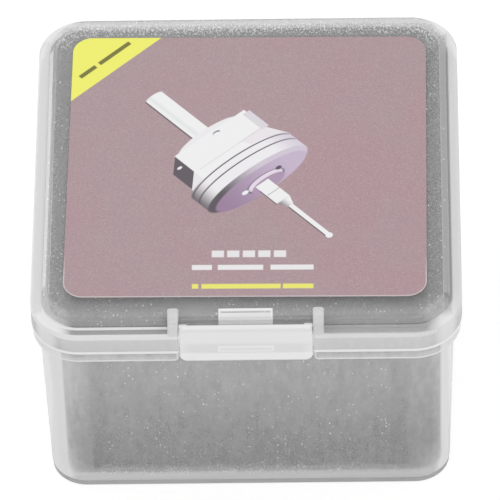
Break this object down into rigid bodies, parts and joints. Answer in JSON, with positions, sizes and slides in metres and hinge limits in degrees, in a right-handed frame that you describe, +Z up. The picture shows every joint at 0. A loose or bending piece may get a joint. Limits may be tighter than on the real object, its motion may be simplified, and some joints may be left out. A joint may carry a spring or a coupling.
{
  "type": "hinged foam-lined case",
  "caption": "Square frosted plastic instrument case with a hinged raised lid, a snap latch flap, a grey foam nest and a plain printed sticker.",
  "frame": {"origin": "centre of the flat underside, below the middle of the lid's outline", "axes": "+Z up from the underside to the lid, latch flap towards -Y, hinge towards +Y"},
  "size_m": [0.095, 0.1026, 0.0567],
  "materials": {
    "frosted_plastic": "translucent frosted polypropylene, satin",
    "grey_foam": "open-cell foam, matte",
    "printed_label": "printed paper label, satin"
  },
  "bodies": {
    "base": {"base_shell": "frosted_plastic", "base_foam": "grey_foam"},
    "lid": {"lid_shell": "frosted_plastic", "lid_foam": "grey_foam", "label_sticker": "printed_label"},
    "latch": {"latch_flap": "frosted_plastic"}
  },
  "joints": [
    {"name": "lid_hinge", "type": "hinge", "parent": "base", "child": "lid", "pos_m": [0, 0.0509, 0.04675], "axis": [-1, 0, 0], "range_deg": [0, 110]},
    {"name": "latch_pivot", "type": "hinge", "parent": "lid", "child": "latch", "pos_m": [0, -0.0473, 0.05485], "axis": [-1, 0, 0], "range_deg": [0, 90]}
  ]
}
